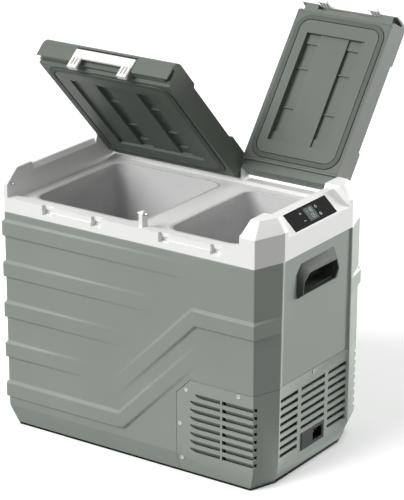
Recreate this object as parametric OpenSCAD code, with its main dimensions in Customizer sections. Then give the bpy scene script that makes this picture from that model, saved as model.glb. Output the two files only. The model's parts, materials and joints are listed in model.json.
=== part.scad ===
// Two-lid compressor cooler fridge. X runs along its length, the front faces -Y, Z is up.
// The origin is the middle of the flat base that it stands on. Sizes are in millimetres.

/* [Body] */
// Length over the two end faces
body_len = 600; // [570:1:640]
// Depth from front face to back face
body_depth = 361; // [350:1:390]
// Height of the grey-green shell, where the white collar starts
shell_top = 434; // [425:1:460]
// Height of the crease between the walls and the drawn-in skirt
skirt_z = 42; // [36:1:50]
// How far the skirt is drawn in at its foot
skirt_inset = 12; // [8:1:16]
// Thickness of the dark pad under the body
base_h = 5; // [4:0.5:8]
// Draft of each wall from the collar to the crease
draft = 3.5; // [2:0.5:5]
// Long corner chamfer, its length along X
corner_x = 22; // [16:1:28]
// Long corner chamfer, its length along Y
corner_y = 64.5; // [50:0.5:75]
// Wall of the moulded shell
wall = 3; // [2:0.5:4]
// Depth of the recessed end panels
panel_depth = 3.6; // [2:0.2:5]
// Width of the recessed end panels
panel_w = 218; // [190:1:220]

/* [Relief] */
// Height of one rib
rib_h = 35; // [26:1:40]
// Pitch of the ribs
rib_pitch = 81.5; // [70:0.5:86]
// Top of the highest rib, below the collar
rib_drop = 14; // [8:1:20]
// How far the ribs and bands stand out at the corner
rib_out = 4.5; // [3:0.5:6]
// Place where the highest rib has faded
rib_reach = 150; // [120:5:190]
// Each rib below ends this much sooner
rib_step = 80; // [60:5:95]
// Place where the lowest rib turns up into its diagonal
band_turn_x = -30; // [-50:5:-10]
// Lower edge of the raised band that meets the right corner
band_z = 299.5; // [290:0.5:310]
// Place where that band turns down into its diagonal
band_apex_x = 156; // [140:1:175]
// Drop of each diagonal before it fades
band_fall = 165; // [140:5:180]

/* [Vent cover] */
// Left edge of the vent cover
cover_x = 111; // [105:1:125]
// Top edge of the vent cover
cover_top = 193; // [188:1:200]
// Size of its cut corner
cover_cut = 30; // [20:1:40]
// Joint between cover and shell
cover_gap = 0.8; // [0.3:0.1:1]
// Rows of cooling slots
slot_rows = 8; // [6:1:8]
// Pitch of the rows
slot_pitch = 15.5; // [14:0.5:16]
// Height of one slot
slot_h = 8; // [6:0.5:9]
// Centre of the lowest row
slot_low_z = 56; // [54:1:62]
// Radius of a cover screw's head
screw_r = 4; // [3:0.5:5]
// Length of a cover screw
screw_len = 14; // [10:1:18]

/* [Collar] */
// Height of the white collar's rails
rail_h = 28; // [24:1:32]
// Width of the rails' tops
rail_w = 21; // [19:0.5:23]
// Step from the rails down to the sealing ledge
ledge_drop = 7; // [5:0.5:9]
// Width of the left cheek
left_cheek_w = 30; // [26:1:36]
// Width of the right cheek, which holds the display
right_cheek_w = 54.5; // [50:0.5:62]
// Lids' top above the rails
lid_rise = 46; // [42:1:50]
// Height of the display facet's lower edge above the shell
facet_low = 42; // [38:1:46]
// Width of the display facet, seen from above
facet_run = 32.5; // [28:0.5:34]
// Extra height of the cheeks' raised ends
bump_rise = 6; // [4:0.5:9]
// Length of one raised end along Y, on its top
bump_len = 44; // [36:1:50]
// Middle of the post between the lids
post_x = 30; // [20:1:40]
// Width of a post
post_w = 8; // [6:0.5:10]
// Height of the posts above the rails
post_h = 29; // [27:1:32]
// Radius of the hinge pins and locating pins
pin_r = 2.8; // [2.4:0.1:3.2]
// Distance of the pins from the front and back faces
pin_inset = 13.5; // [12.5:0.5:15]
// Height of the pins above the rails
pin_rise = 24; // [23:0.5:26]
// Running clearance round a pin
pin_clear = 0.08; // [0.05:0.01:0.1]

/* [Lids] */
// Angle at which the left lid stands open
left_open = 46; // [10:1:80]
// Angle at which the right lid stands open
right_open = 127.5; // [60:0.5:128]
// Gap at the lids' ends
lid_gap = 1; // [0.8:0.1:2]
// How far the lids' noses stay behind the front and back faces
nose_inset = 5.5; // [5:0.5:7]
// Gap between rail and nose
nose_gap = 2; // [1.8:0.1:3]
// Radius of the nose's top at the front
nose_r = 22; // [18:1:22]
// Radius of the lids' rear top edge
back_r = 6; // [5:1:10]
// Drop of the middle of a lid's top
mid_drop = 6; // [4:0.5:8]
// Half the length of that lower middle
mid_half = 88; // [70:1:100]
// Wall of the lids
lid_wall = 3; // [2.5:0.5:4]
// Width of the door seal
gasket_w = 10; // [8:0.5:12]
// Height of the door seal
gasket_h = 4.2; // [3.6:0.2:5]
// Distance of the seal's middle line from the lid's ends
gasket_in = 13; // [12:0.5:15]
// Corner radius of the seal's middle line
gasket_r = 26; // [20:1:30]
// Depth of the recess in a lid's underside
recess_depth = 5; // [4:0.5:7]
// Further depth of the channels in that recess
channel_depth = 8; // [6:0.5:9]
// Width of those channels
channel_w = 28; // [22:1:30]

/* [Latches] */
// Length of a latch bar
bar_len = 134; // [120:1:140]
// Height of a latch bar
bar_h = 20.5; // [18:0.5:22]
// Thickness of a latch bar
bar_t = 4.5; // [4:0.5:5]
// Width of a claw
claw_w = 20; // [16:1:24]
// Distance between the two claws' middles
claw_pitch = 112; // [96:1:112]
// Reach of the claws below the rails' top
claw_drop = 14; // [13:0.5:15]
// Radius of a latch pin
latch_pin_r = 1.5; // [1.2:0.1:1.8]
// How far a latch stands off its locked place
latch_ajar = 6; // [5:0.5:8]

/* [Compartments] */
// Distance of the compartments from the front and back faces
tub_inset = 45.5; // [45:0.5:60]
// Distance of a compartment's sides from its lid's ends
tub_side = 26; // [25:0.5:30]
// Floor height of the deep compartment
left_floor = 62; // [56:1:80]
// Floor height of the shallow compartment over the machine bay
right_floor = 232; // [228:1:260]
// Corner radius of the compartments
tub_r = 24; // [16:1:30]
// Wall of a liner
liner_t = 1.5; // [1:0.25:2]
// Width of a liner's flange on the ledge
flange_w = 4; // [3:0.5:5]

/* [Grips] */
// Middle of a grip along Y
grip_y = 3; // [-5:1:8]
// Width of a grip's pocket
grip_w = 122; // [110:1:128]
// Lower edge of a grip's pocket
grip_z = 354; // [340:1:356]
// Height of a grip's pocket
grip_h = 37; // [32:1:37]
// Depth of a grip's pocket
grip_depth = 32; // [28:1:34]
// How far the hood stands out of the end panel
hood_out = 7.5; // [5:0.5:10]

/* [Display and power] */
// Length of the display plate
plate_len = 140; // [120:1:146]
// Width of the display plate
plate_w = 38; // [32:1:39]
// Thickness of the display plate
plate_t = 1.6; // [1.2:0.2:2.4]
// Width of the readout
lcd_w = 30; // [22:1:32]
// Width of the inlet plate
inlet_w = 79; // [70:1:80]
// Height of the inlet plate
inlet_h = 35; // [30:1:36]
// Middle height of the inlet plate
inlet_z = 58; // [56:1:62]
// Width of the power socket
socket_w = 34; // [28:1:36]
// Middle of the power socket, from the inlet plate's middle
socket_y = 16; // [12:1:18]
// Height of the power socket
socket_h = 25; // [20:1:27]
// Depth of the power socket
socket_depth = 18; // [14:1:20]

/* [Machine bay] */
// Radius of the compressor's shell
comp_r = 50; // [42:1:54]
// Height of the compressor's cylindrical wall
comp_h = 70; // [60:1:78]
// Outside of the cooling fan's frame
fan_w = 120; // [100:1:124]
// Thickness of the cooling fan's frame
fan_t = 25; // [20:1:30]
// Blades of the fan
fan_blades = 7; // [5:1:9]
// Thickness of the condenser
cond_t = 24; // [18:1:26]
// Fins of the condenser
fin_count = 22; // [12:1:26]
// Radius of the refrigerant tubes
tube_r = 3; // [2.5:0.25:3.5]
// Turns of the evaporator round the deep liner
evap_turns = 6; // [4:1:8]

/* [Hidden] */
$fn = 48;
half_len = body_len / 2;
half_depth = body_depth / 2;
fit = 0.3;
skin = 0.02;
draft_angle = atan(draft / (shell_top - skirt_z));
rail_top = shell_top + rail_h;
ledge_z = rail_top - ledge_drop;
lid_top = rail_top + lid_rise;
pin_y = half_depth - pin_inset;
pin_z = rail_top + pin_rise;
left_cheek_x = -half_len + left_cheek_w;
right_cheek_x = half_len - right_cheek_w;
LEFT = [left_cheek_x + lid_gap, post_x - post_w / 2 - lid_gap];
RIGHT = [post_x + post_w / 2 + lid_gap, right_cheek_x - lid_gap];
nose_y = half_depth - nose_inset;
rim_y = half_depth - rail_w - 2 * lid_gap;
rim_z = ledge_z + 2.5;
tub_y = half_depth - tub_inset;
cool_y = tub_y + liner_t;
LEFT_TUB = [LEFT[0] + tub_side, LEFT[1] - tub_side];
RIGHT_TUB = [RIGHT[0] + tub_side, RIGHT[1] - tub_side];
panel_x = half_len - panel_depth;
bay_floor = base_h + wall;
cover_mid = cover_top - cover_cut;
cheek_z = lid_top - lid_wall / 2;
facet_z = shell_top + facet_low;
facet_angle = atan((cheek_z - facet_z) / facet_run);
bump_z = lid_top + bump_rise - lid_wall / 2;
latch_y = pin_y + 3.5;
latch_z = pin_z + 1.5;
cheek_half = 105;
cheek_wall = 3.5;
nose_run = 7.5;
right_land = right_cheek_w - facet_run - nose_run;
left_land = 5;
facet_y = -7;
tray_z = bay_floor;
tray_t = 2;
tray_top = tray_z + tray_t;
bush_h = 12;
foot_ring = 45;
FEET = [45 : 90 : 315];
comp_x = half_len - 105;
comp_y = 45;
cond_x0 = cover_x + 17;
cond_x1 = half_len - 42;
cond_y = -half_depth + 22.5;
cond_z0 = tray_top + 12;
cond_z1 = cover_top - 17;
cond_mid = cond_y + cond_t / 2;
cond_rows = 7;
cond_pitch = 22;
cond_frame = 1;
fan_x = (cond_x0 + cond_x1) / 2;
fan_z = (cond_z0 + cond_z1) / 2;
fan_y = cond_y + cond_t + 2;
fan_back = fan_y + fan_t;
drier_x = cover_x + 39;
drier_y = cond_y + 98;
evap_low = left_floor + 40;
evap_pitch = 44;
evap_off = liner_t + fit + tube_r;
suction_y = comp_y;
liquid_y = drier_y;

// ---- helpers ----

// A profile in Y and Z, drawn out along X
module along_x(points, x0, x1) {
    translate([x0, 0, 0]) rotate([90, 0, 90]) linear_extrude(x1 - x0) polygon(points);
}

// A profile in X and Z, drawn out along Y
module along_y(points, y0, y1) {
    translate([0, y1, 0]) rotate([90, 0, 0]) linear_extrude(y1 - y0) polygon(points);
}

module block(low, high) {
    translate(low) cube(high - low);
}

module rod_x(x0, x1, y, z, r) {
    translate([x0, y, z]) rotate([0, 90, 0]) cylinder(h = x1 - x0, r = r);
}

module rod_y(x, y0, y1, z, r) {
    translate([x, y0, z]) rotate([-90, 0, 0]) cylinder(h = y1 - y0, r = r);
}

module both_y() {
    children();
    mirror([0, 1, 0]) children();
}

// A rectangle with round corners, standing from z0 to z1
module round_block(x0, x1, y, z0, z1, r) {
    translate([(x0 + x1) / 2, 0, z0]) linear_extrude(z1 - z0) union() {
        square([x1 - x0 - 2 * r, 2 * y], center = true);
        square([x1 - x0, 2 * y - 2 * r], center = true);
        for (sx = [-1, 1], sy = [-1, 1])
            translate([sx * ((x1 - x0) / 2 - r), sy * (y - r)]) circle(r);
    }
}

// How far the wall is drawn in at height z
function level(z) = z > skirt_z ? draft * (shell_top - z) / (shell_top - skirt_z)
    : draft + skirt_inset * (skirt_z - z) / (skirt_z - base_h);

// Outline of the body, drawn in by inset, with a smaller chamfer lower down
function outline(inset, shrink = 0) = let (
    a = half_len - inset,
    b = half_depth - inset,
    cx = corner_x - shrink,
    cy = corner_y - 3 * shrink
) [
    [-a + cx, -b], [a - cx, -b], [a, -b + cy], [a, b - cy],
    [a - cx, b], [-a + cx, b], [-a, b - cy], [-a, -b + cy]
];

module slice(z, inset, shrink) {
    translate([0, 0, z]) linear_extrude(skin) polygon(outline(inset, shrink));
}

// The drafted body and its drawn-in skirt, from z0 up to z1, all drawn in by grow
module body_form(grow, z0, z1) {
    hull() {
        slice(skirt_z, draft + grow, draft);
        slice(z1 - skin, grow, 0);
    }
    hull() {
        slice(z0, level(z0) + grow, draft);
        slice(skirt_z, draft + grow, draft);
    }
}

// The corner that the machine bay takes out of the body, grown by g
module bay(g) {
    slant = 0.4 * g;
    along_y([
        [cover_x - g, bay_floor - max(g, 0)], [cover_x - g, cover_mid + slant],
        [cover_x + cover_cut - slant, cover_top + g], [body_len, cover_top + g],
        [body_len, bay_floor - max(g, 0)]
    ], -body_depth, body_depth);
}

// The shallow panel sunk into each end, deeper and wider by grow
module end_panels(grow) {
    ramp = 12;
    deep = panel_depth + grow;
    wide = panel_w / 2 + grow;
    for (side = [-1, 1])
        translate([side * half_len, 0, shell_top]) rotate([0, side * draft_angle, 0])
            translate([0, 0, -shell_top]) linear_extrude(shell_top + rail_h)
                polygon([
                    [-side * deep, -wide], [-side * deep, wide], [0, wide + ramp],
                    [side * wall, wide + ramp], [side * wall, -wide - ramp], [0, -wide - ramp]
                ]);
}

module shell_wall() {
    difference() {
        body_form(0, base_h, shell_top);
        difference() {
            body_form(wall, bay_floor, shell_top + wall);
            end_panels(wall);
        }
        end_panels(0);
    }
}

// ---- relief of the front and back ----

// A rib that wraps the chamfer on one side and stands out by out at x1
module rib(z0, x1, out, side) {
    inset = level(z0 + rib_h / 2);
    front = half_depth - inset;
    corner = half_len - corner_x;
    deep = wall / 2;
    back = -half_depth + corner_y - 2 * inset;
    translate([0, 0, z0]) linear_extrude(rib_h) polygon([
        [x1, -front + deep], [x1, -front - out],
        [side * (corner + 0.7 * rib_out), -front - rib_out],
        [side * (half_len - inset), back], [side * (half_len - inset - deep), back],
        [side * (corner - deep), -front + deep]
    ]);
}

// A diagonal: full at x0, faded at x1; its face follows the drafted wall
module diagonal(points, x0, z0, x1, z1) {
    f0 = -half_depth + level(z0);
    f1 = -half_depth + level(z1);
    past = 2 * (x0 - x1);
    intersection() {
        along_y(points, f0 - body_depth, f0 + wall);
        linear_extrude(shell_top) polygon([
            [x0 + past, f0 + wall / 2], [x0 + past, f0 - rib_out], [x0, f0 - rib_out],
            [x1, f1], [x1, f1 + wall / 2], [x0, f0 + wall / 2]
        ]);
    }
}

module relief() {
    top = shell_top - rib_drop - rib_h;
    low = top - 4 * rib_pitch;
    thick = 1.25 * rib_h;
    x0 = band_turn_x + thick / 2;
    both_y() {
        for (i = [0 : 3]) rib(top - i * rib_pitch, rib_reach - i * rib_step, 0, -1);
        rib(low, band_turn_x, rib_out, -1);
        diagonal([[x0, low], [x0 + band_fall, low + band_fall],
            [x0 + band_fall - thick, low + band_fall], [x0 - thick, low]],
            x0, low, x0 + band_fall, low + band_fall);
        rib(band_z, band_apex_x, rib_out, 1);
        diagonal([[band_apex_x, band_z], [band_apex_x, band_z + rib_h],
            [band_apex_x - thick + rib_h, band_z + rib_h],
            [band_apex_x - band_fall - thick, band_z - band_fall],
            [band_apex_x - band_fall, band_z - band_fall]],
            band_apex_x - 1, band_z, band_apex_x - band_fall - thick, band_z - band_fall);
    }
}

// ---- shell and vent cover ----

// Places of the cover's screws: X and Z on the front and back
SCREWS = [[cover_x + 22, cover_top - 21], [cover_x + 135.5, cover_top - 7.5],
    [cover_x + 8, cover_mid - 60], [cover_x + 11, skirt_z - 8]];
shank_r = screw_r / 2;
head_in = 1.2;

module screw_rods(r, inward, outward) {
    both_y() for (p = SCREWS) {
        face = -half_depth + level(p[1]);
        rod_y(p[0], face - outward, face + inward, p[1], r);
    }
    side_z = cover_top - 7;
    face = panel_x - level(side_z);
    rod_x(face - inward, face + outward, 0, side_z, r);
}

// The strip behind the cover's edge, which carries its screws
module cover_seat() {
    lap = 16;
    seat = -half_depth + draft + wall + fit;
    end = panel_x - draft - wall - fit;
    difference() {
        union() {
            both_y() difference() {
                along_y([[cover_x - lap, skirt_z], [cover_x - lap, cover_mid + lap / 2],
                    [cover_x + cover_cut - lap / 2, cover_top + lap],
                    [half_len - corner_x - wall, cover_top + lap],
                    [half_len - corner_x - wall, skirt_z]], seat - 3 * fit - draft, seat + wall);
                bay(-lap);
                intersection() {
                    bay(1);
                    block([0, -body_depth, 0], [body_len, seat, cover_top + 2]);
                }
            }
            block([end - wall, -panel_w / 2, cover_top - lap], [end, panel_w / 2, cover_top + lap]);
            block([end - 1, -panel_w / 2, cover_top + 1],
                [end + wall - 1, panel_w / 2, cover_top + lap]);
            both_y() along_x([[seat + skirt_inset + fit, bay_floor - 1], [seat + fit, skirt_z + 1],
                [seat + 2 * wall + skirt_inset, skirt_z + 1],
                [seat + 2 * wall + skirt_inset, bay_floor - 1]], cover_x + 4, cover_x + 15);
        }
        screw_rods(shank_r, screw_len + 2, wall);
    }
}

module outer_shell() {
    color([0.57, 0.6, 0.57]) difference() {
        union() {
            difference() {
                union() {
                    shell_wall();
                    relief();
                }
                bay(0);
            }
            cover_seat();
        }
        for (side = [-1, 1]) grip_hole(side);
        screw_rods(shank_r, screw_len + 2, wall);
    }
}

slot_left = cover_x + cover_cut;
slot_bar = slot_left + 66;
slot_right = half_len - corner_x + wall;
bar_w = 4;
slot_far = panel_w / 2 + 5;
slot_near = 52.5;
slot_mid = 41;
blade_t = 1.5;

function slot_z(i) = slot_low_z - slot_h / 2 + i * slot_pitch;
function slot_start(i) = i == slot_rows - 1 ? slot_left + 11 : slot_left;

// One slot: square at its upper left, scooped at its lower left
module scoop(x0, x1, z0, scooped) {
    curve = [for (a = [0 : 15 : 75]) [x0 + 2 * scooped * (1 - cos(a)), z0 + slot_h * (1 - sin(a))]];
    along_y(concat([[x1, z0], [x1, z0 + slot_h]], curve, [[x0 + 2 * scooped, z0]]),
        -half_depth - wall, -half_depth + 14);
}

module cover_slots() {
    deep = 14;
    for (i = [0 : slot_rows - 1]) {
        z0 = slot_z(i);
        both_y() {
            scoop(slot_start(i), slot_bar, z0, slot_h);
            block([slot_bar + bar_w, -half_depth - wall, z0],
                [slot_right, -half_depth + deep, z0 + slot_h]);
            block([panel_x - deep, -slot_far, z0], [body_len, -slot_near, z0 + slot_h]);
        }
        if (i > 1) block([panel_x - deep, -slot_mid, z0], [body_len, slot_mid, z0 + slot_h]);
    }
}

// Section of a sloped blade: depth behind the wall's outer face, and height above the slot
BLADE = [[0.6, slot_h + 2], [0.6, slot_h], [8.5, -blade_t], [8.5 + blade_t, -blade_t],
    [wall, slot_h + 0.5], [wall, slot_h + 2]];

// The blades that slope down and inward behind the slots and keep spray out of the bay
module cover_blades() {
    lap = 2;
    hole = 5;
    for (i = [0 : slot_rows - 1]) {
        z0 = slot_z(i);
        face = half_depth - level(z0);
        end = panel_x - level(z0);
        front = [for (p = BLADE) [-face + p[0], z0 + p[1]]];
        side = [for (p = BLADE) [end - p[0], z0 + p[1]]];
        both_y() {
            along_x(front, slot_start(i) - lap, slot_bar + lap);
            along_x(front, slot_bar + bar_w + hole, half_len - corner_x - 1);
            along_y(side, -slot_far - 1, -slot_near + lap);
        }
        if (i > 1) along_y(side, -slot_mid - lap, slot_mid + lap);
    }
}

module vent_cover() {
    color([0.62, 0.65, 0.61]) difference() {
        union() {
            difference() {
                intersection() {
                    shell_wall();
                    bay(-cover_gap);
                }
                cover_slots();
            }
            cover_blades();
        }
        screw_rods(shank_r + fit, screw_len, wall);
        screw_rods(screw_r + fit, head_in, wall);
        inlet_hole(fit);
    }
}

module cover_screws() {
    color([0.12, 0.12, 0.13]) union() {
        difference() {
            screw_rods(screw_r, head_in, screw_r / 5);
            screw_rods(0.6 * screw_r, 0, screw_r);
        }
        screw_rods(shank_r - 0.05, screw_len, -head_in / 2);
    }
}

module base_pad() {
    color([0.07, 0.07, 0.08]) linear_extrude(base_h)
        polygon(outline(skirt_inset + draft + 1, draft));
}

// ---- collar ----

// Plan of one cheek's end, from its inner face at x0 to the outer corner
function cheek_plan(x0, side, y0) = [
    [x0, -half_depth], [side * (half_len - corner_x), -half_depth],
    [side * half_len, -half_depth + corner_y], [side * half_len, y0 - 12], [x0, y0]
];

module cheek_end(x0, side) {
    rise_z = facet_z + 12;
    y0 = -half_depth + 2 * bump_len;
    y1 = -half_depth + 33.5;
    in = half_len - corner_x * 0.86;
    tip = max(in - 15, abs(x0) + 4);
    both_y() {
        translate([0, 0, shell_top]) linear_extrude(rise_z - shell_top)
            polygon(cheek_plan(x0, side, y0));
        hull() {
            translate([0, 0, rise_z - skin]) linear_extrude(skin)
                polygon(cheek_plan(x0, side, y0));
            translate([0, 0, bump_z - skin]) linear_extrude(skin) polygon([
                [x0 + 2 * side, y1], [side * tip, y1], [side * in, -half_depth + corner_y + 2],
                [side * (in - 2), y1 + bump_len], [x0 + 2 * side, y1 + bump_len]
            ]);
        }
    }
}

// Section of a cheek in X and Z, drawn in by g; land is the width of its flat top
function cheek_section(x0, side, land, g) = let (
    top = cheek_z - g,
    in = x0 + side * g,
    out = side * (half_len - g),
    slope = tan(facet_angle),
    foot = shell_top - min(g, 1),
    edge = x0 + side * (nose_run + land - 0.4 * g)
) [
    [in, foot], [in, top - 9], [x0 + side * 7, top], [edge, top],
    [out, top - abs(out - edge) * slope], [out, foot]
];

module on_facet() {
    translate([half_len - facet_run / 2, facet_y, (cheek_z + facet_z) / 2])
        rotate([0, facet_angle, 0]) children();
}

module keeper_notches() {
    for (lid = [LEFT, RIGHT], s = [-1, 1]) {
        x = (lid[0] + lid[1]) / 2 + s * claw_pitch / 2;
        w = claw_w / 2 + 1;
        mouth = -half_depth + 9;
        low = rail_top - claw_drop - 4;
        hook = 5;
        block([x - w, -half_depth - 1, low], [x + w, mouth, rail_top + 1]);
        block([x - w, mouth - 1, low + 1], [x + w, mouth + hook, rail_top - claw_drop + hook + fit]);
    }
}

// The shallow recess in the rails' faces between the two claws of each latch
module rail_recess() {
    for (lid = [LEFT, RIGHT]) {
        mid = (lid[0] + lid[1]) / 2;
        block([mid - bar_len / 2, -half_depth - 1, rail_top - 11],
            [mid + bar_len / 2, -half_depth + 1.5, rail_top + 1]);
    }
}

module tub_opening(tub, g, z0) {
    round_block(tub[0] - g, tub[1] + g, tub_y + g, z0, ledge_z + 1, tub_r + g);
}

module top_collar() {
    hollow = cheek_half - 2 * cheek_wall;
    color([0.93, 0.93, 0.92]) difference() {
        union() {
            difference() {
                translate([0, 0, shell_top]) linear_extrude(rail_h) polygon(outline(0));
                block([left_cheek_x, -half_depth + rail_w, ledge_z],
                    [right_cheek_x, half_depth - rail_w, rail_top + 1]);
            }
            along_y(cheek_section(right_cheek_x, 1, right_land, 0), -cheek_half, cheek_half);
            along_y(cheek_section(left_cheek_x, -1, left_land, 0), -cheek_half, cheek_half);
            cheek_end(right_cheek_x, 1);
            cheek_end(left_cheek_x, -1);
            for (s = [-1, 1]) post(s);
        }
        block([left_cheek_x + wall, -half_depth + rail_w + cheek_wall, shell_top - 1],
            [right_cheek_x - wall, half_depth - rail_w - cheek_wall, ledge_z - cheek_wall]);
        along_y(cheek_section(right_cheek_x, 1, right_land, cheek_wall), -hollow, hollow);
        along_y(cheek_section(left_cheek_x, -1, left_land, cheek_wall), -hollow, hollow);
        for (tub = [LEFT_TUB, RIGHT_TUB]) {
            tub_opening(tub, liner_t + fit, shell_top - 2);
            tub_opening(tub, liner_t + flange_w + fit, ledge_z - liner_t);
        }
        keeper_notches();
        rail_recess();
        for (s = [-1, 1]) pin_rods(s, pin_r + pin_clear, fit);
        on_facet() block([-plate_w / 2 - fit, -plate_len / 2 - fit, -plate_t],
            [plate_w / 2 + fit, plate_len / 2 + fit, 3]);
        on_facet() translate([0, lcd_y, -cable_deep]) cylinder(h = cable_deep, r = 7);
    }
}

module post(s) {
    x0 = post_x - post_w / 2;
    foot = half_depth - rail_w - 1.5;
    top = rail_top + post_h;
    mirror([0, s > 0 ? 0 : 1, 0]) along_x([
        [foot, rail_top - 1], [foot, top - 7], [foot + 6, top], [half_depth - 9, top],
        [half_depth - 5.5, top - 4], [half_depth - 5.5, rail_top - 1]
    ], x0, x0 + post_w);
}

// The three pins of one side: s is 1 at the rear and -1 at the front
module pin_rods(s, r, grow) {
    y = s * pin_y;
    stub = 5.5;
    rod_x(left_cheek_x - 2 * pin_r - grow, LEFT[0] + stub + grow, y, pin_z, r);
    rod_x(LEFT[1] - stub - grow, RIGHT[0] + stub + grow, y, pin_z, r);
    rod_x(RIGHT[1] - stub - grow, right_cheek_x + 2 * pin_r + grow, y, pin_z, r);
}

module hinge_pins() {
    color([0.7, 0.7, 0.72]) pin_rods(1, pin_r, 0);
}

module locating_pins() {
    color([0.7, 0.7, 0.72]) pin_rods(-1, pin_r, 0);
}

// ---- compartments ----

module liner(tub, floor_z) {
    r = tub_r;
    color([0.9, 0.9, 0.89]) difference() {
        union() {
            round_block(tub[0] - liner_t, tub[1] + liner_t, cool_y, floor_z - liner_t, ledge_z,
                r + liner_t);
            round_block(tub[0] - liner_t - flange_w, tub[1] + liner_t + flange_w,
                cool_y + flange_w, ledge_z - liner_t, ledge_z, r + liner_t + flange_w);
        }
        round_block(tub[0], tub[1], tub_y, floor_z, ledge_z + 1, r);
    }
}

module left_liner() {
    liner(LEFT_TUB, left_floor);
}

module right_liner() {
    liner(RIGHT_TUB, right_floor);
}

// One closed turn of tube round the deep liner
module turn(x0, x1, y, z, r, bend) {
    for (s = [-1, 1]) {
        rod_x(x0 + bend, x1 - bend, s * y, z, r);
        rod_y(s > 0 ? x1 : x0, -y + bend, y - bend, z, r);
        for (sx = [x0 + bend, x1 - bend])
            translate([sx, s * (y - bend), z])
                rotate([0, 0, sx > (x0 + x1) / 2 ? (s > 0 ? 0 : -90) : (s > 0 ? 90 : 180)])
                    rotate_extrude(angle = 90) translate([bend, 0]) circle(r);
    }
}

module evaporator() {
    x0 = LEFT_TUB[0] - evap_off;
    x1 = LEFT_TUB[1] + evap_off;
    color([0.75, 0.5, 0.35]) union() {
        for (i = [0 : evap_turns - 1])
            turn(x0, x1, tub_y + evap_off, evap_low + i * evap_pitch, tube_r, tub_r + evap_off);
        for (i = [0 : evap_turns - 2])
            translate([i % 2 == 0 ? x0 : x1, 0, evap_low + i * evap_pitch])
                cylinder(h = evap_pitch, r = tube_r);
        rod_x(x1, comp_x - comp_r - 4, suction_y, evap_low, tube_r);
        rod_x(x1, drier_x, liquid_y, evap_low, tube_r);
    }
}

module insulation() {
    lap = 18;
    color([0.93, 0.88, 0.7]) difference() {
        union() {
            body_form(wall + 2, bay_floor + fit, shell_top - fit);
            block([left_cheek_x + 2 * wall, -half_depth + rail_w + 2 * wall, shell_top - 2],
                [right_cheek_x - 2 * wall, half_depth - rail_w - 2 * wall, ledge_z - 4]);
        }
        end_panels(wall + fit);
        bay(lap);
        round_block(LEFT_TUB[0] - liner_t - fit, LEFT_TUB[1] + liner_t + fit, cool_y + fit,
            left_floor - liner_t - fit, ledge_z, tub_r + liner_t + fit);
        round_block(RIGHT_TUB[0] - liner_t - fit, RIGHT_TUB[1] + liner_t + fit, cool_y + fit,
            right_floor - liner_t - fit, ledge_z, tub_r + liner_t + fit);
        round_block(LEFT_TUB[0] - 2 * evap_off, LEFT_TUB[1] + 2 * evap_off, tub_y + 2 * evap_off,
            evap_low - 2 * tube_r, evap_low + (evap_turns - 1) * evap_pitch + 2 * tube_r,
            tub_r + 2 * evap_off);
        rod_x(0, half_len, suction_y, evap_low, tube_r + fit);
        rod_x(0, half_len, liquid_y, evap_low, tube_r + fit);
        for (side = [-1, 1]) grip_room(side);
    }
}

// ---- grips ----

// Opening and foot of a grip's hood, as shares of its half width and height
MOUTH = [[-0.98, 0.03], [-0.93, 0.62], [-0.61, 1], [0.88, 0.96], [1, 0.43], [0.83, 0.02]];
FOOT = [[-1.16, -0.14], [-1.17, 1.1], [-0.93, 1.57], [0.89, 1.57], [1.11, 0.9], [1.13, -0.14]];

module grip_slab(shape, x, g) {
    w = grip_w / 2;
    translate([x, 0, 0]) rotate([90, 0, 90]) linear_extrude(skin) polygon([
        for (p = shape) [grip_y + p[0] * (w + g), grip_z + p[1] * (grip_h + g) - g / 2]
    ]);
}

grip_face = panel_x - level(grip_z + grip_h / 2);
cup_x = grip_face + hood_out - grip_depth;
cup_t = 2.5;

module grip(side) {
    small = -8;
    mirror([side > 0 ? 0 : 1, 0, 0]) color([0.33, 0.36, 0.33]) difference() {
        union() {
            hull() {
                grip_slab(FOOT, grip_face + 1, 0);
                grip_slab(MOUTH, grip_face + hood_out, cup_t);
            }
            hull() {
                grip_slab(MOUTH, grip_face + hood_out, cup_t);
                grip_slab(MOUTH, cup_x - cup_t, cup_t + small);
            }
        }
        hull() {
            grip_slab(MOUTH, grip_face + hood_out + 1, 0);
            grip_slab(MOUTH, cup_x, small);
        }
    }
}

module grip_hole(side) {
    mirror([side > 0 ? 0 : 1, 0, 0]) hull() {
        grip_slab(MOUTH, grip_face + 2, cup_t + 2 * fit);
        grip_slab(MOUTH, grip_face - 12, cup_t + 2 * fit);
    }
}

module grip_room(side) {
    mirror([side > 0 ? 0 : 1, 0, 0]) hull() {
        grip_slab(MOUTH, grip_face + 2, 3 * cup_t);
        grip_slab(MOUTH, cup_x - 2 * cup_t, 2 * cup_t);
    }
}

module left_grip() {
    grip(-1);
}

module right_grip() {
    grip(1);
}

// ---- display and power ----

lcd_y = 2.5;
lcd_h = 27;
cable_deep = 6;

module display_plate() {
    color([0.03, 0.03, 0.035]) on_facet() difference() {
        block([-plate_w / 2, -plate_len / 2, -plate_t], [plate_w / 2, plate_len / 2, fit]);
        block([-lcd_h / 2, lcd_y - lcd_w / 2, -plate_t / 2], [lcd_h / 2, lcd_y + lcd_w / 2, 1]);
    }
}

module lcd_window() {
    color([0.1, 0.11, 0.12]) on_facet()
        block([-lcd_h / 2 + 0.1, lcd_y - lcd_w / 2 + 0.1, -plate_t / 2],
            [lcd_h / 2 - 0.1, lcd_y + lcd_w / 2 - 0.1, fit]);
}

module display_board() {
    half_w = plate_w / 2 - 5;
    half_l = plate_len / 2 - 18;
    top = -7;
    color([0.1, 0.35, 0.2]) on_facet() difference() {
        union() {
            block([-half_w, -half_l, top - 1.5], [half_w, half_l, top]);
            for (sx = [-1, 1], sy = [-1, 1])
                translate([sx * (half_w - 3), sy * (half_l - 6), top]) cylinder(h = 3.2, r = 2.5);
        }
        translate([0, 0, top - 2]) cylinder(h = 4, r = 1.6);
    }
}

inlet_y = 0.5;
inlet_x = panel_x - level(inlet_z);

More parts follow.
